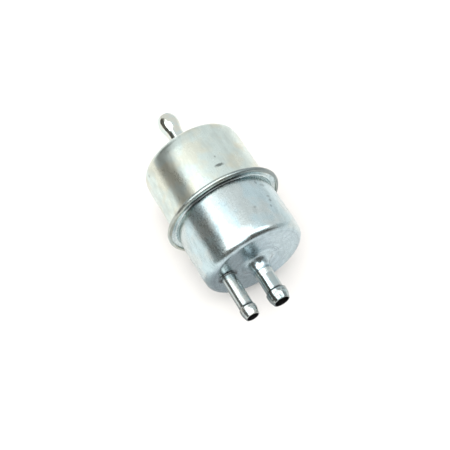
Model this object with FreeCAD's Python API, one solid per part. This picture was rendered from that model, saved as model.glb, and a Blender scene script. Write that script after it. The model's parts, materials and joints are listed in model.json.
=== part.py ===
import FreeCAD, Part
import math
import os

os.makedirs("parts", exist_ok=True)

# In-line fuel filter with a vapour-return tube, in millimetres.
# The canister lies along X: fuel enters at -X and leaves at +X, and +Z is up.
# The origin is the middle of the overall length, on the canister's axis.

# Driving dimensions: canister
can_radius = 23.0          # outside of both drawn cups
sheet = 0.6                # steel sheet of the cups
inlet_depth = 31.8         # seam's middle plane to the outside of the inlet end
outlet_depth = 28.7        # seam's middle plane to the outside of the outlet end
inlet_corner = 3.9         # outside radius where wall turns into end
outlet_corner = 3.5
wall_fillet = 0.7          # outside radius where wall turns out into the flange
draft_length = 6.0         # the wall draws in slightly before it turns into the end
draft_drop = 0.45
draft_rounding = 30.0      # of the long curve where the draft begins

# Driving dimensions: rolled seam
seam_radius = 26.85        # outermost edge of the roll
gasket_thickness = 0.3
hem_edge_radius = 25.4     # where the rolled-over edge ends
hem_rounding = 1.04        # outside radius of the roll's two edges

# Driving dimensions: hose tubes
main_tube_radius = 3.85    # under a 5/16 in hose
main_bore_radius = 3.2
return_tube_radius = 3.2   # under a 1/4 in hose
return_bore_radius = 2.55
inlet_reach = 23.4         # tip beyond the end of the cup
outlet_reach = 20.6
return_reach = 20.9
return_offset_y = -13.8    # the return tube stands beside the outlet tube
inlet_stub = 1.5           # inlet tube inside the cup
outlet_stub = 7.6          # outlet tube inside the cup, through the grommet
return_stub = 2.0          # return tube inside the cup

# Driving dimensions: the bead near each tip, measured back from the tip
inlet_bead_height = 0.95
inlet_bead_back = 9.2      # where the bead rises from the tube
inlet_bead_ramp = 4.0
inlet_ramp_rounding = 8.0
outlet_bead_height = 0.7
outlet_bead_back = 5.5
outlet_bead_ramp = 0.6
outlet_ramp_rounding = 0.3
return_bead_height = 0.45
return_bead_back = 5.2
return_bead_ramp = 0.8
return_ramp_rounding = 0.6
barrel_bend = 2.6          # where the crest and the slope to the tip would meet
barrel_radius = 5.0        # of the curve that joins them
nose_drop = 0.2            # tube's radius to the radius of the rounded tip
nose_rounding = 0.25
groove_length = 1.6        # the bead's hollow inside the bore
groove_ramp = 0.5

# Driving dimensions: drawn collars round the tubes
collar_wall = 0.25
collar_height = 5.4
collar_fillet = 4.8
return_collar_height = 0.35
return_collar_fillet = 0.3
braze_length = 2.4         # along the tube, from the collar's edge
return_braze_length = 0.4

# Driving dimensions: return orifice
orifice_length = 4.0
orifice_floor = 1.2
orifice_hole_radius = 0.75
orifice_wall = 0.5

# Driving dimensions: filter element
pleat_count = 28
pleat_outer_radius = 17.0
pleat_inner_radius = 8.6
paper = 0.5
clip_sheet = 0.3
clip_depth = 2.0           # how far the clip reaches down the fold
clip_width = 4.0
element_length = 34.0      # over both caps
element_end_gap = 5.0      # inside of the outlet end to the element
cap_radius = 18.8
cap_sheet = 0.4
cap_rim = 2.6
cap_corner = 0.8
cap_clearance = 0.4        # cap to the ends of the pleats
potting_depth = 1.6
core_radius = 7.2
core_sheet = 0.4
core_hole_radius = 1.4
core_hole_rows = 6
core_holes_across = 4
grommet_radius = 6.4
grommet_groove = 1.0
grommet_lip = 1.2
seat_sheet = 0.5
seat_rise = 1.6
seat_boss = 8.0
seat_radius = 11.4
spring_wire = 1.1
spring_radius = 9.0        # to the middle of the wire
spring_turns = 3.25

# Places along X, worked out from the dimensions above
inlet_total = inlet_depth + inlet_reach
outlet_total = outlet_depth + max(outlet_reach, return_reach)
seam_x = (inlet_total - outlet_total) / 2
inlet_end = seam_x - inlet_depth
outlet_end = seam_x + outlet_depth
inlet_tip = inlet_end - inlet_reach
outlet_tip = outlet_end + outlet_reach
return_tip = outlet_end + return_reach
return_inner_end = outlet_end - sheet - return_stub
half_stack = (gasket_thickness + 3 * sheet) / 2
element_outlet = outlet_end - sheet - element_end_gap
element_inlet = element_outlet - element_length
media_low = element_inlet + cap_sheet + cap_clearance
media_high = element_outlet - cap_sheet - cap_clearance

axis_x = FreeCAD.Vector(1, 0, 0)
axis_y = FreeCAD.Vector(0, 1, 0)
origin = FreeCAD.Vector(0, 0, 0)
join_tolerance = 1e-6


def corner_arc(before, corner, after, radius):
    """The two tangent points and the middle of an arc that rounds one corner."""
    to_before = (before - corner).normalize()
    to_after = (after - corner).normalize()
    half_angle = to_before.getAngle(to_after) / 2
    bisector = (to_before + to_after).normalize()
    tangent = radius / math.tan(half_angle)
    middle = radius / math.sin(half_angle) - radius
    return corner + to_before * tangent, corner + bisector * middle, corner + to_after * tangent


def outline(points):
    """A closed wire in the XZ plane from (x, radius, rounding) corners."""
    corners = [FreeCAD.Vector(x, 0, radius) for x, radius, _ in points]
    edges, starts, ends = [], [], []
    for i, (_, _, rounding) in enumerate(points):
        here = corners[i]
        if rounding:
            after = corners[(i + 1) % len(corners)]
            start, middle, end = corner_arc(corners[i - 1], here, after, rounding)
            edges.append(Part.Arc(start, middle, end).toShape())
        else:
            start = end = here
        starts.append(start)
        ends.append(end)
    for i, end in enumerate(ends):
        following = starts[(i + 1) % len(starts)]
        if end.distanceToPoint(following) > join_tolerance:
            edges.append(Part.makeLine(end, following))
    return Part.Wire(Part.__sortEdges__(edges))


def revolved(points, y=0.0):
    """A ring-shaped solid about the X axis, moved sideways by y."""
    solid = Part.Face(outline(points)).revolve(origin, axis_x, 360)
    solid.translate(axis_y * y)
    return solid


def rod(radius, x_low, x_high, y=0.0):
    return Part.makeCylinder(radius, x_high - x_low, FreeCAD.Vector(x_low, y, 0), axis_x)


def save(name, shape):
    shape.exportStep("parts/" + name + ".step")


# Canister

def inlet_shell():
    """Drawn cup whose rim runs out into a flange and rolls over the outlet cup's flange."""
    back = seam_x - half_stack
    front = seam_x + half_stack
    collar_outer = main_tube_radius + collar_wall
    collar_end = inlet_end - collar_height
    inner = can_radius - sheet
    return revolved([
        (front, hem_edge_radius, 0),
        (front, seam_radius, hem_rounding),
        (back, seam_radius, hem_rounding),
        (back, can_radius, wall_fillet),
        (inlet_end + draft_length, can_radius, draft_rounding),
        (inlet_end, can_radius - draft_drop, inlet_corner),
        (inlet_end, collar_outer, collar_fillet),
        (collar_end, collar_outer, 0),
        (collar_end, main_tube_radius, 0),
        (inlet_end + sheet, main_tube_radius, collar_fillet + sheet),
        (inlet_end + sheet, inner - draft_drop, inlet_corner - sheet),
        (inlet_end + draft_length, inner, draft_rounding),
        (back + sheet, inner, wall_fillet + sheet),
        (back + sheet, seam_radius - sheet, hem_rounding - sheet),
        (front - sheet, seam_radius - sheet, hem_rounding - sheet),
        (front - sheet, hem_edge_radius, 0),
    ])


def outlet_shell():
    """Drawn cup with a plain flange, a tall collar on the axis and a short one beside it."""
    flange_back = seam_x + gasket_thickness - half_stack + sheet
    flange_front = flange_back + sheet
    flange_edge = seam_radius - half_stack
    collar_outer = main_tube_radius + collar_wall
    collar_end = outlet_end + collar_height
    inner = can_radius - sheet
    cup = revolved([
        (flange_front, flange_edge, 0),
        (flange_front, can_radius, wall_fillet),
        (outlet_end - draft_length, can_radius, draft_rounding),
        (outlet_end, can_radius - draft_drop, outlet_corner),
        (outlet_end, collar_outer, collar_fillet),
        (collar_end, collar_outer, 0),
        (collar_end, main_tube_radius, 0),
        (outlet_end - sheet, main_tube_radius, collar_fillet + sheet),
        (outlet_end - sheet, inner - draft_drop, outlet_corner - sheet),
        (outlet_end - draft_length, inner, draft_rounding),
        (flange_back, inner, wall_fillet + sheet),
        (flange_back, flange_edge, 0),
    ])
    short_outer = return_tube_radius + collar_wall
    short_foot = short_outer + return_collar_fillet + sheet
    short_end = outlet_end + return_collar_height
    short_collar = revolved([
        (outlet_end - sheet, return_tube_radius, 0),
        (outlet_end - sheet, short_foot, 0),
        (outlet_end, short_foot, 0),
        (outlet_end, short_outer, return_collar_fillet),
        (short_end, short_outer, 0),
        (short_end, return_tube_radius, 0),
    ], return_offset_y)
    hole = rod(return_tube_radius, outlet_end - 2 * sheet, short_end, return_offset_y)
    return cup.fuse(short_collar).cut(hole).removeSplitter()


def seam_gasket():
    back = seam_x - half_stack + sheet
    front = back + gasket_thickness
    edge = seam_radius - half_stack
    return revolved([
        (back, can_radius, 0),
        (back, edge, 0),
        (front, edge, 0),
        (front, can_radius, 0),
    ])


# Hose tubes and the braze that seals them

def hose_tube(tube_radius, bore_radius, inner_end, tip, bead, y=0.0):
    """A straight tube with a barrel-shaped bead (height, back, ramp, rounding) at its tip."""
    height, back, ramp, rounding = bead
    way = 1 if tip > inner_end else -1
    crest = tube_radius + height
    groove = bore_radius + height

    def behind(distance):
        return tip - way * distance

    crest_back = back - ramp
    groove_front = crest_back - groove_length
    return revolved([
        (inner_end, bore_radius, 0),
        (inner_end, tube_radius, 0),
        (behind(back), tube_radius, rounding),
        (behind(crest_back), crest, rounding),
        (behind(barrel_bend), crest, barrel_radius),
        (behind(0), tube_radius - nose_drop, nose_rounding),
        (behind(0), bore_radius, 0),
        (behind(groove_front - groove_ramp), bore_radius, groove_ramp / 2),
        (behind(groove_front), groove, groove_ramp / 2),
        (behind(crest_back), groove, rounding),
        (behind(back), bore_radius, rounding),
    ], y)


def braze_ring(tube_radius, collar_end, length, y=0.0):
    """The seam of braze metal in the corner between a collar's edge and its tube."""
    corners = [
        FreeCAD.Vector(collar_end, 0, tube_radius),
        FreeCAD.Vector(collar_end + length, 0, tube_radius),
        FreeCAD.Vector(collar_end, 0, tube_radius + collar_wall),
    ]
    ring = Part.Face(Part.makePolygon(corners + corners[:1])).revolve(origin, axis_x, 360)
    ring.translate(axis_y * y)
    return ring


def return_orifice():
    """A thimble pressed into the inner end of the return tube, with a calibrated hole."""
    start = return_inner_end
    end = start + orifice_length
    floor = start + orifice_floor
    cup_radius = return_bore_radius - orifice_wall
    return revolved([
        (start, orifice_hole_radius, 0),
        (start, return_bore_radius, 0),
        (end, return_bore_radius, 0),
        (end, cup_radius, 0),
        (floor, cup_radius, 0),
        (floor, orifice_hole_radius, 0),
    ], return_offset_y)


# Filter element

def fold_line():
    """The middle line of the pleated paper, seen along X, as a closed wire."""
    corners = []
    for i in range(2 * pleat_count):
        radius = pleat_inner_radius if i % 2 else pleat_outer_radius
        angle = math.pi * i / pleat_count
        corners.append(FreeCAD.Vector(0, radius * math.sin(angle), radius * math.cos(angle)))
    return Part.makePolygon(corners + corners[:1])


def pleat_band(inside, outside, x_low, x_high):
    """The shape between two offsets from the fold line, as a prism along X."""
    outer = Part.Face(fold_line().makeOffset2D(outside))
    inner = Part.Face(fold_line().makeOffset2D(inside))
    band = outer.cut(inner).extrude(axis_x * (x_high - x_low))
    band.translate(axis_x * x_low)
    return band.Solids[0]


def pleated_media():
    return pleat_band(-paper / 2, paper / 2, media_low, media_high)


def media_clip():
    """A folded strip over the outer fold where the two ends of the paper meet."""
    low = media_low + potting_depth
    high = media_high - potting_depth
    band = pleat_band(paper / 2, paper / 2 + clip_sheet, low, high)
    corner = FreeCAD.Vector(low, -clip_width / 2, pleat_outer_radius - clip_depth)
    window = Part.makeBox(high - low, clip_width, 2 * clip_depth, corner)
    return band.common(window).Solids[0]


def core_tube():
    """Perforated tube inside the pleats, seated in both rings of adhesive."""
    tube = rod(core_radius, media_low, media_high).cut(rod(core_radius - core_sheet, media_low, media_high))
    first = media_low + potting_depth
    clear = media_high - potting_depth - first
    drills = []
    for row in range(core_hole_rows):
        x = first + clear * (row + 0.5) / core_hole_rows
        for i in range(core_holes_across):
            angle = math.pi * (i + 0.5 * (row % 2)) / core_holes_across
            way = FreeCAD.Vector(0, math.cos(angle), math.sin(angle))
            start = axis_x * x - way * 2 * core_radius
            drills.append(Part.makeCylinder(core_hole_radius, 4 * core_radius, start, way))
    return tube.cut(drills)


def end_cap(face_x, way, hole_radius):
    """A pressed cap with its rim turned over the pleats; way points into the element."""
    inside = face_x + way * cap_sheet
    rim = face_x + way * cap_rim
    return revolved([
        (face_x, hole_radius, 0),
        (face_x, cap_radius, cap_corner),
        (rim, cap_radius, 0),
        (rim, cap_radius - cap_sheet, 0),
        (inside, cap_radius - cap_sheet, cap_corner - cap_sheet),
        (inside, hole_radius, 0),
    ])


def potting(face_x, way, hole_radius):
    """Adhesive in a cap, with the pleats and the core tube bedded in it."""
    inside = face_x + way * cap_sheet
    surface = inside + way * potting_depth
    ring = revolved([
        (inside, hole_radius, 0),
        (inside, cap_radius - cap_sheet, cap_corner - cap_sheet),
        (surface, cap_radius - cap_sheet, 0),
        (surface, hole_radius, 0),
    ])
    return ring.cut([pleated_media(), core_tube()])


def outlet_grommet():
    """Rubber ring gripped by the cap's hole and sealing on the outlet tube's stub."""
    groove_radius = grommet_radius - grommet_groove
    cap_inside = element_outlet - cap_sheet
    outside = element_outlet + grommet_lip
    inside = cap_inside - grommet_lip
    return revolved([
        (outside, main_tube_radius, grommet_lip / 3),
        (outside, grommet_radius, grommet_lip / 2),
        (element_outlet, grommet_radius, 0),
        (element_outlet, groove_radius, 0),
        (cap_inside, groove_radius, 0),
        (cap_inside, grommet_radius, 0),
        (inside, grommet_radius, grommet_lip / 2),
        (inside, main_tube_radius, grommet_lip / 3),
    ])


def spring_seat():
    """A pressed dish between the spring and the closed cap, with a boss inside the coils."""
    brim = element_inlet - seat_sheet
    crown = element_inlet - seat_rise
    return revolved([
        (element_inlet, 0, 0),
        (element_inlet, seat_radius, 0),
        (brim, seat_radius, 0),
        (brim, seat_boss, seat_sheet),
        (crown, seat_boss, seat_sheet),
        (crown, 0, 0),
    ])


def element_spring():
    """Compression spring with ground ends between the inlet end and its seat."""
    low = inlet_end + sheet
    high = element_inlet - seat_sheet
    overrun = spring_wire / 2
    pitch = (high - low) / spring_turns
    helix = Part.makeHelix(pitch, high - low + 2 * overrun, spring_radius)
    start = FreeCAD.Vector(spring_radius, 0, 0)
    section = Part.Wire(Part.makeCircle(spring_wire / 2, start, axis_y))
    coil = Part.Wire(helix).makePipeShell([section], True, True)
    coil.rotate(origin, axis_y, 90)
    coil.translate(axis_x * (low - overrun))
    return coil.common(rod(2 * spring_radius, low, high)).Solids[0]


inlet_inner_end = inlet_end + sheet + inlet_stub
outlet_inner_end = outlet_end - sheet - outlet_stub
inlet_collar_end = inlet_end - collar_height
outlet_collar_end = outlet_end + collar_height
return_collar_end = outlet_end + return_collar_height
cap_hole_radius = grommet_radius - grommet_groove
inlet_bead = (inlet_bead_height, inlet_bead_back, inlet_bead_ramp, inlet_ramp_rounding)
outlet_bead = (outlet_bead_height, outlet_bead_back, outlet_bead_ramp, outlet_ramp_rounding)
return_bead = (return_bead_height, return_bead_back, return_bead_ramp, return_ramp_rounding)

save("inlet_shell", inlet_shell())
save("outlet_shell", outlet_shell())
save("seam_gasket", seam_gasket())
save("inlet_tube", hose_tube(
    main_tube_radius, main_bore_radius, inlet_inner_end, inlet_tip, inlet_bead))
save("outlet_tube", hose_tube(
    main_tube_radius, main_bore_radius, outlet_inner_end, outlet_tip, outlet_bead))
save("return_tube", hose_tube(
    return_tube_radius, return_bore_radius, return_inner_end, return_tip, return_bead, return_offset_y))
save("inlet_braze_ring", braze_ring(main_tube_radius, inlet_collar_end, -braze_length))
save("outlet_braze_ring", braze_ring(main_tube_radius, outlet_collar_end, braze_length))
save("return_braze_ring", braze_ring(
    return_tube_radius, return_collar_end, return_braze_length, return_offset_y))
save("return_orifice", return_orifice())
save("pleated_media", pleated_media())
save("media_clip", media_clip())
save("core_tube", core_tube())
save("inlet_end_cap", end_cap(element_inlet, 1, 0))
save("outlet_end_cap", end_cap(element_outlet, -1, cap_hole_radius))
save("inlet_potting", potting(element_inlet, 1, 0))
save("outlet_potting", potting(element_outlet, -1, grommet_radius))
save("outlet_grommet", outlet_grommet())
save("spring_seat", spring_seat())
save("element_spring", element_spring())
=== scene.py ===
"""Looks of the in-line fuel filter: zinc-plated canister on a white table in soft studio light."""
import json
import math

import bpy
from mathutils import Matrix, Vector


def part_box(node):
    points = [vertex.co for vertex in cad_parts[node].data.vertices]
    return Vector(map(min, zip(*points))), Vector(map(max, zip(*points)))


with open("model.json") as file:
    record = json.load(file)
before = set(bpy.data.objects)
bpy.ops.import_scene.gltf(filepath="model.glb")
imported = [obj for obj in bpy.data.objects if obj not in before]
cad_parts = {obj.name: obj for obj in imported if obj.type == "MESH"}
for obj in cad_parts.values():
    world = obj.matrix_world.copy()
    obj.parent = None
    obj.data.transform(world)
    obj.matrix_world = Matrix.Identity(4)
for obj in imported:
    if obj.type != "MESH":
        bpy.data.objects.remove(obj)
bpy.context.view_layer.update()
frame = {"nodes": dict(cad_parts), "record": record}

mm = 0.001

# Places, in metres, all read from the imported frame
inlet_low, inlet_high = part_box("inlet_shell")
_, outlet_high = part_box("outlet_shell")
inlet_tube_low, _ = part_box("inlet_tube")
_, outlet_tube_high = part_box("outlet_tube")
return_tube_low, return_tube_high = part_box("return_tube")
half_roll = 1.05 * mm          # half the thickness of the rolled seam
collar_height = 5.4 * mm       # of the tallest collar, past the flat end
can_radius = 23 * mm
main_bore = 3.2 * mm           # inside radius of the two large tubes
return_bore = 2.55 * mm        # inside radius of the return tube
bead_step = 5.2 * mm           # tip to the middle of the step behind the bead
seam_x = inlet_high.x - half_roll
seam_centre = Vector((seam_x, 0, 0))
ring_radius = inlet_high.z     # over the rolled seam
return_y = (return_tube_low.y + return_tube_high.y) / 2
outlet_end = outlet_high.x - collar_height


def compass(azimuth, elevation):
    """A unit vector; azimuth 0 points to -Y and 90 to +X, as for the views."""
    a, e = math.radians(azimuth), math.radians(elevation)
    return Vector((math.sin(a) * math.cos(e), -math.cos(a) * math.cos(e), math.sin(e)))


# Camera
camera_azimuth, camera_elevation = 61.16, 60.19
camera_distance = 0.45
sensor_mm, lens_mm = 36, 84.05
aim_right_mm, aim_down_mm = 0.54, 6.29     # from the seam's centre, in the picture

toward_camera = compass(camera_azimuth, camera_elevation)
camera_right = Vector((0, 0, 1)).cross(toward_camera).normalized()
camera_up = toward_camera.cross(camera_right)
aim = seam_centre + camera_right * aim_right_mm * mm - camera_up * aim_down_mm * mm

camera_data = bpy.data.cameras.new("camera")
camera_data.sensor_width = sensor_mm
camera_data.lens = lens_mm
camera = bpy.data.objects.new("camera", camera_data)
camera.location = aim + toward_camera * camera_distance
camera.rotation_mode = "QUATERNION"
camera.rotation_quaternion = toward_camera.to_track_quat("Z", "Y")
bpy.context.collection.objects.link(camera)
bpy.context.scene.camera = camera
bpy.context.scene.view_settings.view_transform = "Standard"


# Studio
def panel(name, centre, facing, along, length, width, radiance):
    """An even rectangle of light; its length lies along a direction, and it faces another."""
    data = bpy.data.lights.new(name, "AREA")
    data.shape = "RECTANGLE"
    data.size, data.size_y = length, width
    data.energy = math.pi * length * width * radiance
    lamp = bpy.data.objects.new(name, data)
    back = -facing.normalized()
    side = (along - back * along.dot(back)).normalized()
    lamp.matrix_world = Matrix((side, back.cross(side), back)).transposed().to_4x4()
    lamp.location = centre
    bpy.context.collection.objects.link(lamp)


def plain_material(name, colour, emission=0.0):
    """Dull and even, for the stage only; it glows with its own colour if emission is given."""
    material = bpy.data.materials.new(name)
    material.use_nodes = True
    shader = material.node_tree.nodes["Principled BSDF"]
    shader.inputs["Base Color"].default_value = (*colour, 1)
    shader.inputs["Roughness"].default_value = 0.9
    shader.inputs["Specular IOR Level"].default_value = 0.1
    shader.inputs["Emission Color"].default_value = (*colour, 1)
    shader.inputs["Emission Strength"].default_value = emission
    return material


def stage_mesh(name, points, faces, material):
    """A mesh that isn't part of the object."""
    mesh = bpy.data.meshes.new(name)
    mesh.from_pydata(points, [], faces)
    mesh.materials.append(material)
    obj = bpy.data.objects.new(name, mesh)
    bpy.context.collection.objects.link(obj)
    return obj


def glossy_only(obj):
    """Only mirror-like surfaces see this piece of the stage."""
    obj.visible_camera = False
    obj.visible_diffuse = False
    obj.visible_shadow = False


def level_card(name, x_range, y_range, z, material):
    """A flat card lying level, seen only in reflections."""
    (x0, x1), (y0, y1) = x_range, y_range
    corners = [(x0, y0, z), (x1, y0, z), (x1, y1, z), (x0, y1, z)]
    glossy_only(stage_mesh(name, corners, [(0, 1, 2, 3)], material))


def screen(name, azimuths, elevations, distance, material, steps=24):
    """A curved strip round the object, seen only in reflections."""
    points = []
    for i in range(steps + 1):
        azimuth = azimuths[0] + (azimuths[1] - azimuths[0]) * i / steps
        points += [compass(azimuth, elevation) * distance for elevation in elevations]
    faces = [(2 * i, 2 * i + 1, 2 * i + 3, 2 * i + 2) for i in range(steps)]
    glossy_only(stage_mesh(name, points, faces, material))


# The object lies with its seam on a pale floor
half_floor = 1.5
floor_z = -ring_radius
corner_signs = ((-1, -1), (1, -1), (1, 1), (-1, 1))
floor_corners = [(x * half_floor, y * half_floor, floor_z) for x, y in corner_signs]
floor_white = plain_material("floor_white", (0.72, 0.70, 0.68))
stage_mesh("floor", floor_corners, [(0, 1, 2, 3)], floor_white)

# Dark surroundings, as azimuths, elevations and a distance; they give the dark bands on the plate
near, far = 0.6, 1.2
dark = plain_material("screen_dark", (0.052, 0.048, 0.042), 1.0)
dim = plain_material("screen_dim", (0.30, 0.31, 0.31), 1.0)
screen("room", (-70, 75), (-2, 38), near, dark)
screen("doorway", (80, 140), (4, 68), far, dark)
screen("far_wall", (140, 175), (4, 50), far, dim)

# A ceiling light in two parts, each an oblong; their edges bound the bright bands on the plate
edge_along = Vector((0.40, 0.916, 0))
edge_across = Vector((0.916, -0.40, 0))
edge_point = Vector((-0.175, 0, 0.6))
ceiling_radiance = 2.7
world_strength = 1.0


def overhead(name, across, along, radiance):
    """Part of the ceiling light, between two distances across and along from its edge's point."""
    centre = edge_point + edge_across * sum(across) / 2 + edge_along * sum(along) / 2
    length, width = along[1] - along[0], across[1] - across[0]
    panel(name, centre, Vector((0, 0, -1)), edge_along, length, width, radiance)


overhead("overhead_back", (0, 0.35), (-0.95, 0.75), ceiling_radiance)
overhead("overhead_front", (0.35, 0.85), (-0.95, 0.18), ceiling_radiance)

world = bpy.data.worlds.new("studio")
world.use_nodes = True
background = world.node_tree.nodes["Background"]
background.inputs["Color"].default_value = (1, 1, 1, 1)
background.inputs["Strength"].default_value = world_strength
bpy.context.scene.world = world


# Materials
class Graph:
    """A material and short names for building its nodes."""

    def __init__(self, name, metallic=0.0):
        self.material = bpy.data.materials.new(name)
        self.material.use_nodes = True
        self.tree = self.material.node_tree
        self.shader = self.tree.nodes["Principled BSDF"]
        self.shader.inputs["Metallic"].default_value = metallic
        self.place = self.tree.nodes.new("ShaderNodeTexCoord").outputs["Object"]

    def feed(self, socket, value):
        if isinstance(value, bpy.types.NodeSocket):
            self.tree.links.new(value, socket)
        else:
            socket.default_value = value

    def math(self, operation, *values):
        """Arithmetic on sockets or numbers; MULTIPLY_ADD gives first * second + third."""
        node = self.tree.nodes.new("ShaderNodeMath")
        node.operation = operation
        for socket, value in zip(node.inputs, values):
            self.feed(socket, value)
        return node.outputs[0]

    def vector(self, operation, *values):
        node = self.tree.nodes.new("ShaderNodeVectorMath")
        node.operation = operation
        for socket, value in zip(node.inputs, values):
            self.feed(socket, value)
        return node.outputs["Value" if operation == "LENGTH" else "Vector"]

    def join(self, x, y, z):
        node = self.tree.nodes.new("ShaderNodeCombineXYZ")
        for socket, value in zip(node.inputs, (x, y, z)):
            self.feed(socket, value)
        return node.outputs[0]

    def split(self, vector):
        node = self.tree.nodes.new("ShaderNodeSeparateXYZ")
        self.feed(node.inputs[0], vector)
        return node.outputs

    def noise(self, vector, feature, detail=2.0, roughness=0.5):
        """Noise from 0 to 1 whose features measure about so many metres."""
        node = self.tree.nodes.new("ShaderNodeTexNoise")
        self.feed(node.inputs["Vector"], vector)
        node.inputs["Scale"].default_value = 1 / feature
        node.inputs["Detail"].default_value = detail
        node.inputs["Roughness"].default_value = roughness
        return node.outputs["Fac"]

    def fade(self, value, low, high, at_low=0.0, at_high=1.0):
        """A smooth step from at_low to at_high as the value goes from low to high."""
        node = self.tree.nodes.new("ShaderNodeMapRange")
        node.interpolation_type = "SMOOTHSTEP"
        for socket, item in zip(node.inputs, (value, low, high, at_low, at_high)):
            self.feed(socket, item)
        return node.outputs[0]

    def blend_value(self, factor, first, second):
        """The first number where the factor is 0, and the second where it is 1."""
        node = self.tree.nodes.new("ShaderNodeMix")
        for name, value in (("Factor", factor), ("A", first), ("B", second)):
            self.feed(node.inputs[name], value)
        return node.outputs["Result"]

    def blend(self, factor, first, second):
        """The first colour where the factor is 0, and the second where it is 1."""
        node = self.tree.nodes.new("ShaderNodeMix")
        node.data_type = "RGBA"
        self.feed(node.inputs["Factor"], factor)
        for name, colour in (("A", first), ("B", second)):
            linked = isinstance(colour, bpy.types.NodeSocket)
            self.feed(node.inputs[name], colour if linked else (*colour, 1))
        return node.outputs["Result"]

    def blot(self, centre, half_size):
        """1 inside a small ellipsoid and 0 outside, with a ragged edge."""
        node = self.tree.nodes.new("ShaderNodeMapping")
        node.vector_type = "TEXTURE"
        self.feed(node.inputs["Vector"], self.place)
        node.inputs["Location"].default_value = centre
        node.inputs["Scale"].default_value = half_size
        distance = self.vector("LENGTH", node.outputs[0])
        ragged = self.noise(self.place, 0.6 * mm, 3)
        return self.fade(self.math("MULTIPLY_ADD", ragged, 0.9, distance), 0.8, 1.6, 1, 0)

    def finish(self, colour, roughness, relief):
        """Wire the shader; relief is a height in millimetres."""
        bump = self.tree.nodes.new("ShaderNodeBump")
        bump.inputs["Strength"].default_value = 1.0
        bump.inputs["Distance"].default_value = mm
        self.feed(bump.inputs["Height"], relief)
        self.feed(self.shader.inputs["Base Color"], colour)
        self.feed(self.shader.inputs["Roughness"], roughness)
        self.feed(self.shader.inputs["Normal"], bump.outputs[0])
        return self.material


def shade_card(floor_glow, shaded_glow):
    """A glowing card over the table, seen only by glossy surfaces: painted shade where the end
    face mirrors the table in the tubes' shade.
    """
    x_start = outlet_high.x - 20 * mm
    x_fade = (outlet_tube_high.x, outlet_tube_high.x + 25 * mm)
    near_fade = (2 * mm, 18 * mm)
    far_fade = (-70 * mm, -35 * mm)
    above_floor = 0.3 * mm

    g = Graph("table_shade")
    x, y, _ = g.split(g.place)
    lit = g.fade(y, *near_fade)
    lit = g.math("MAXIMUM", lit, g.fade(y, *far_fade, 1, 0))
    lit = g.math("MAXIMUM", lit, g.fade(x, *x_fade))
    g.feed(g.shader.inputs["Base Color"], (0, 0, 0, 1))
    g.feed(g.shader.inputs["Emission Strength"], g.blend_value(lit, shaded_glow, floor_glow))
    g.feed(g.shader.inputs["Emission Color"], (1, 1, 1, 1))
    y_range = (far_fade[0], near_fade[1])
    level_card("table_shade", (x_start, x_fade[1]), y_range, floor_z + above_floor, g.material)


shade_card(floor_glow=1.0, shaded_glow=0.5)

# A bright, glowing strip above the inlet tube, seen only in reflections, which gives the tube a
# painted highlight. A bright strip above the inlet tube, which gives it the photo's highlight
strip_x = (inlet_tube_low.x - 6 * mm, inlet_low.x - 8 * mm)
strip_y = (-10 * mm, -5 * mm)
strip_z = 20 * mm
strip_white = plain_material("card_strip", (1, 1, 1), 2.2)
level_card("tube_strip", strip_x, strip_y, strip_z, strip_white)

# Colours of painted shade and painted highlight that cover the plate in places
bead_shade_colour = (0.10, 0.11, 0.11)
bore_shade_colour = (0.035, 0.035, 0.035)
roll_shade_colour = (0.17, 0.21, 0.22)
flange_highlight_colour = (0.80, 0.92, 0.93)
seam_shade_colour = (0.075, 0.08, 0.08)


def on_can(x, angle):
    """A place on the can's wall; the angle runs from the top toward -Y, in degrees."""
    a = math.radians(angle)
    return Vector((x, -can_radius * math.sin(a), can_radius * math.cos(a)))


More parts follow.
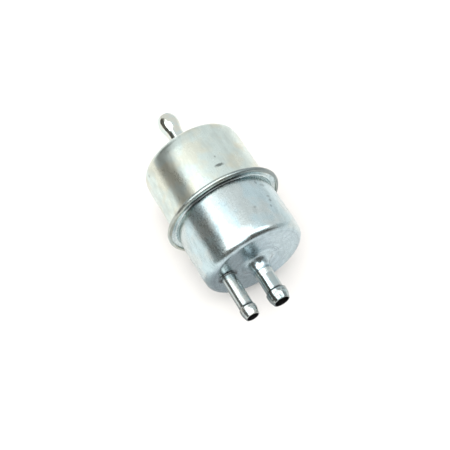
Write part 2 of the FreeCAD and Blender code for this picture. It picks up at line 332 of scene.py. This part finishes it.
def shell_plate(name, way, cool, warm, end_colour, satin, seam_light_and_shade, scuffs):
    """Zinc plate on a drawn cup: draw lines along the wall, rings round the end, stains.

    The end faces +X where way is 1 and -X where it is -1. Relief heights are in millimetres.
    """
    draw_stretch, smudge_stretch = (0.12, 1, 1), (0.4, 1, 1)
    draw_relief, ring_relief, broad_relief, grain_relief = 0.005, 0.005, 0.008, 0.004
    end_peel, wall_peel = 0.003, 0.027
    g = Graph(name, metallic=1.0)
    x, y, z = g.split(g.place)
    radius = g.vector("LENGTH", g.join(0, y, z))
    profile = g.math("MULTIPLY_ADD", radius, -way, x)
    on_wall = g.fade(radius, can_radius - 2.5 * mm, can_radius - 0.4 * mm)
    rings = g.noise(g.join(profile, 0, 0), 0.45 * mm, 2, 0.6)
    broad_rings = g.noise(g.join(profile, 3 * mm, 0), 1.6 * mm, 1)
    draw_lines = g.noise(g.vector("MULTIPLY", g.place, draw_stretch), 0.5 * mm, 3, 0.6)
    smudges = g.noise(g.vector("MULTIPLY", g.place, smudge_stretch), 2.6 * mm, 3, 0.6)
    clouds = g.noise(g.place, 9 * mm, 2, 0.5)
    peel = g.noise(g.place, 1.9 * mm, 2, 0.5)
    grain = g.noise(g.place, 0.35 * mm, 2, 0.6)

    colour = g.blend(g.fade(clouds, 0.42, 0.62), cool, warm)
    shade = g.fade(smudges, 0.35, 0.72, 1.03, 0.88)
    shade = g.math("MULTIPLY", shade, g.fade(draw_lines, 0.3, 0.7, 0.97, 1.03))
    ring_shade = g.fade(g.math("MULTIPLY_ADD", broad_rings, 0.6, rings), 0.62, 0.98, 0.76, 1.14)
    shade = g.math("MULTIPLY", shade, g.blend_value(on_wall, ring_shade, 1.0))
    for place, half_size, depth in scuffs:
        mask = g.blot(place, half_size)
        shade = g.math("MULTIPLY", shade, g.math("MULTIPLY_ADD", mask, -depth, 1.0))
    colour = g.blend(on_wall, end_colour, colour)
    # Painted light and shade round the seam, from the function passed in
    colour = seam_light_and_shade(g, radius, colour)
    tinted = g.vector("MULTIPLY", colour, g.join(shade, shade, shade))

    rough = g.fade(smudges, 0.3, 0.7, satin - 0.03, satin + 0.05)
    roughness = g.math("ADD", rough, g.fade(grain, 0.3, 0.7, -0.03, 0.04))

    on_wall_relief = g.math("MULTIPLY", draw_lines, draw_relief)
    on_end_relief = g.math("MULTIPLY", broad_rings, broad_relief)
    on_end_relief = g.math("MULTIPLY_ADD", rings, ring_relief, on_end_relief)
    difference = g.math("SUBTRACT", on_wall_relief, on_end_relief)
    relief = g.math("MULTIPLY_ADD", difference, on_wall, on_end_relief)
    relief = g.math("MULTIPLY_ADD", peel, g.blend_value(on_wall, end_peel, wall_peel), relief)
    relief = g.math("MULTIPLY_ADD", grain, grain_relief, relief)
    return g.finish(tinted, roughness, relief)


def tube_plate(name, way, tip_x, centre_y, bore, cool, warm, gloss, bead_shade_depth):
    """Glossier zinc plate; painted shade lies in patches on the bead and in the step behind it,
    and the bore is painted near-black as painted shade.
    """
    draw_stretch = (0.08, 1, 1)
    draw_relief, turned_relief, peel_relief = 0.006, 0.006, 0.012      # heights, in millimetres
    g = Graph(name, metallic=1.0)
    x, y, z = g.split(g.place)
    radius = g.vector("LENGTH", g.join(0, g.math("SUBTRACT", y, centre_y), z))
    behind_tip = g.math("MULTIPLY", g.math("SUBTRACT", tip_x, x), way)
    draw_lines = g.noise(g.vector("MULTIPLY", g.place, draw_stretch), 0.45 * mm, 2, 0.6)
    turned = g.noise(g.join(x, 0, 0), 0.5 * mm, 2, 0.6)
    peel = g.noise(g.place, 1.5 * mm, 2)
    clouds = g.noise(g.place, 3 * mm, 2)

    # Painted shade in the step behind the bead, and in patches on the bead
    step_distance = g.math("ABSOLUTE", g.math("SUBTRACT", behind_tip, bead_step))
    in_step = g.fade(step_distance, 0.3 * mm, 1.0 * mm, bead_shade_depth, 0)
    on_bead = g.fade(behind_tip, bead_step - 0.6 * mm, bead_step, bead_shade_depth, 0)
    patches = g.fade(g.noise(g.place, 1.1 * mm, 3, 0.6), 0.42, 0.60, 0, 0.8)
    bead_shade = g.math("MAXIMUM", in_step, g.math("MULTIPLY", on_bead, patches))
    # The bore is painted near-black: painted shade
    inside = g.fade(radius, bore, bore + 0.2 * mm, 1, 0)
    colour = g.blend(g.fade(clouds, 0.4, 0.65), cool, warm)
    colour = g.blend(bead_shade, colour, bead_shade_colour)
    colour = g.blend(inside, colour, bore_shade_colour)

    rough = g.fade(clouds, 0.35, 0.7, gloss, gloss + 0.07)
    roughness = g.math("ADD", rough, g.math("MULTIPLY", inside, 0.35))

    relief = g.math("MULTIPLY_ADD", draw_lines, draw_relief, g.math("MULTIPLY", peel, peel_relief))
    relief = g.math("MULTIPLY_ADD", turned, turned_relief, relief)
    return g.finish(colour, roughness, relief)


def mottled(name, first, second, feature, roughness, relief, metallic=0.0):
    """A material of two tones in small patches, rough and uneven at the same scale."""
    g = Graph(name, metallic=metallic)
    patches = g.noise(g.place, feature, 4, 0.6)
    grain = g.noise(g.place, feature / 6, 3, 0.6)
    colour = g.blend(g.fade(patches, 0.35, 0.65), first, second)
    rough = g.math("ADD", g.fade(patches, 0.3, 0.7, *roughness), g.math("MULTIPLY", grain, 0.06))
    height = g.math("MULTIPLY_ADD", grain, relief, g.math("MULTIPLY", patches, relief))
    return g.finish(colour, rough, height)


def shaded_roll(g, radius, colour):
    """Painted shade on the rolled edge: some all round its outermost millimetre, and more round
    its front at +Y.
    """
    edge_shade, front_shade = 0.5, 0.85
    x, y, _ = g.split(g.place)
    # Painted shade: some round the outermost edge, more round the front at +Y
    edge = g.fade(radius, ring_radius - 1.0 * mm, ring_radius - 0.3 * mm, 0, edge_shade)
    facing_outlet = g.fade(x, seam_x - 1.0 * mm, seam_x - 0.5 * mm)
    front = g.math("MULTIPLY", facing_outlet, g.fade(y, -6 * mm, 6 * mm, 0, front_shade))
    on_roll = g.fade(radius, ring_radius - 1.6 * mm, ring_radius - 1.1 * mm)
    front = g.math("MULTIPLY", front, on_roll)
    return g.blend(g.math("MAXIMUM", edge, front), colour, roll_shade_colour)


def flange_light_and_groove_shade(g, radius, colour):
    """Painted highlight on the flange, brighter towards -Y, and painted shade in the top of its
    groove and round the return tube's foot.
    """
    groove_shade_depth = 0.88
    x, y, z = g.split(g.place)
    # Painted highlight on the flange, brighter towards -Y
    flange = g.fade(radius, can_radius + 0.1 * mm, can_radius + 0.5 * mm)
    flange = g.math("MULTIPLY", flange, g.fade(y, -12 * mm, 0, 1, 0.2))
    with_flange_highlight = g.blend(flange, colour, flange_highlight_colour)

    # Painted shade in the top of the groove
    groove = g.fade(x, seam_x + 1.2 * mm, seam_x + 2.0 * mm, 1, 0)
    middle = g.math("MULTIPLY", g.fade(y, -20 * mm, -14 * mm), g.fade(y, 4 * mm, 12 * mm, 1, 0))
    top = g.math("MULTIPLY", middle, g.fade(z, 0, 6 * mm, 0, groove_shade_depth))
    groove_shade = g.math("MULTIPLY", groove, top)

    # Painted shade round the return tube's foot, in patches
    from_tube = g.vector("LENGTH", g.join(0, g.math("SUBTRACT", y, return_y), z))
    round_tube = g.fade(from_tube, 3.8 * mm, 5.0 * mm, 1, 0)
    foot = g.math("MULTIPLY", round_tube, g.fade(x, seam_x, outlet_end))
    patchy = g.fade(g.noise(g.place, 1.2 * mm, 3, 0.6), 0.35, 0.55, 0.45, 0.95)
    seam_shade = g.math("MAXIMUM", groove_shade, g.math("MULTIPLY", foot, patchy))
    return g.blend(seam_shade, with_flange_highlight, seam_shade_colour)


# Marks on the wall: a place, the half sizes of the mark, and how much it darkens the plate
inlet_scuffs = [
    (on_can(seam_x - 8.2 * mm, -6), (0.9 * mm, 2.6 * mm, 0.9 * mm), 0.70),
    (on_can(seam_x - 12.7 * mm, -7), (0.55 * mm, 0.5 * mm, 0.5 * mm), 0.45),
    (on_can(seam_x - 26.7 * mm, 72), (0.9 * mm, 0.6 * mm, 0.7 * mm), 0.45),
]
outlet_scuffs = [
    (on_can(seam_x + 6.1 * mm, -40), (1.0 * mm, 1.8 * mm, 1.8 * mm), 0.32),
    (on_can(seam_x + 14.4 * mm, -37), (0.9 * mm, 0.9 * mm, 0.9 * mm), 0.40),
    (on_can(seam_x + 17.3 * mm, -33), (0.8 * mm, 0.7 * mm, 0.7 * mm), 0.40),
    (on_can(seam_x + 17.6 * mm, -12), (2.2 * mm, 1.4 * mm, 1.0 * mm), 0.12),
    (on_can(seam_x + 16.2 * mm, -14), (0.8 * mm, 0.7 * mm, 0.7 * mm), 0.25),
    (on_can(seam_x + 4.5 * mm, -33), (1.2 * mm, 0.8 * mm, 0.8 * mm), 0.35),
    (on_can(seam_x + 12.2 * mm, -38), (0.6 * mm, 1.2 * mm, 1.2 * mm), 0.35),
]

# Materials of single pieces, and then of the record's slots for all other pieces
by_node = {
    "inlet_shell": shell_plate(
        "inlet_shell_plate", way=-1, cool=(0.57, 0.66, 0.63), warm=(0.60, 0.63, 0.55),
        end_colour=(0.62, 0.70, 0.68), satin=0.30, seam_light_and_shade=shaded_roll, scuffs=inlet_scuffs),
    "outlet_shell": shell_plate(
        "outlet_shell_plate", way=1, cool=(0.46, 0.58, 0.61), warm=(0.50, 0.57, 0.57),
        end_colour=(0.42, 0.52, 0.56), satin=0.255, seam_light_and_shade=flange_light_and_groove_shade, scuffs=outlet_scuffs),
    "inlet_tube": tube_plate(
        "inlet_tube_plate", way=-1, tip_x=inlet_tube_low.x, centre_y=0, bore=main_bore,
        cool=(0.58, 0.66, 0.64), warm=(0.62, 0.64, 0.57), gloss=0.10, bead_shade_depth=0.0),
    "outlet_tube": tube_plate(
        "outlet_tube_plate", way=1, tip_x=outlet_tube_high.x, centre_y=0, bore=main_bore,
        cool=(0.36, 0.45, 0.46), warm=(0.41, 0.45, 0.44), gloss=0.12, bead_shade_depth=0.7),
    "return_tube": tube_plate(
        "return_tube_plate", way=1, tip_x=return_tube_high.x, centre_y=return_y, bore=return_bore,
        cool=(0.40, 0.46, 0.46), warm=(0.46, 0.48, 0.45), gloss=0.22, bead_shade_depth=0.45),
    # The return braze ring is painted near-black: painted shade in the crevice at the tube's foot
    "return_braze_ring": mottled(
        "shaded_braze", (0.06, 0.07, 0.07), (0.16, 0.18, 0.18), 0.8 * mm, (0.3, 0.5), 0.02, 1.0),
}
by_slot = {
    "zinc_braze": mottled(
        "braze", (0.42, 0.50, 0.50), (0.50, 0.55, 0.54), 0.8 * mm, (0.12, 0.25), 0.02, 1.0),
    "gasket_rubber": mottled(
        "gasket", (0.02, 0.02, 0.02), (0.04, 0.04, 0.04), 1 * mm, (0.7, 0.9), 0.02),
    "orifice_brass": mottled(
        "brass", (0.72, 0.55, 0.26), (0.60, 0.43, 0.18), 1 * mm, (0.2, 0.35), 0.005, 1.0),
    "spring_steel": mottled(
        "wire", (0.42, 0.42, 0.43), (0.30, 0.30, 0.31), 0.6 * mm, (0.25, 0.4), 0.005, 1.0),
    "tin_plate": mottled(
        "tin", (0.62, 0.62, 0.60), (0.52, 0.52, 0.50), 2 * mm, (0.25, 0.4), 0.01, 1.0),
    "adhesive": mottled(
        "adhesive", (0.46, 0.34, 0.16), (0.36, 0.25, 0.10), 2 * mm, (0.3, 0.5), 0.05),
    "filter_paper": mottled(
        "paper", (0.78, 0.68, 0.47), (0.68, 0.57, 0.37), 0.5 * mm, (0.8, 0.95), 0.03),
    "grommet_rubber": mottled(
        "grommet", (0.02, 0.02, 0.02), (0.05, 0.05, 0.05), 1 * mm, (0.6, 0.8), 0.02),
}

for subpart in frame["record"]["subparts"]:
    node = subpart["node"]
    obj = frame["nodes"][node]
    obj.data.materials.clear()
    obj.data.materials.append(by_node.get(node) or by_slot[subpart["material_slot"]])
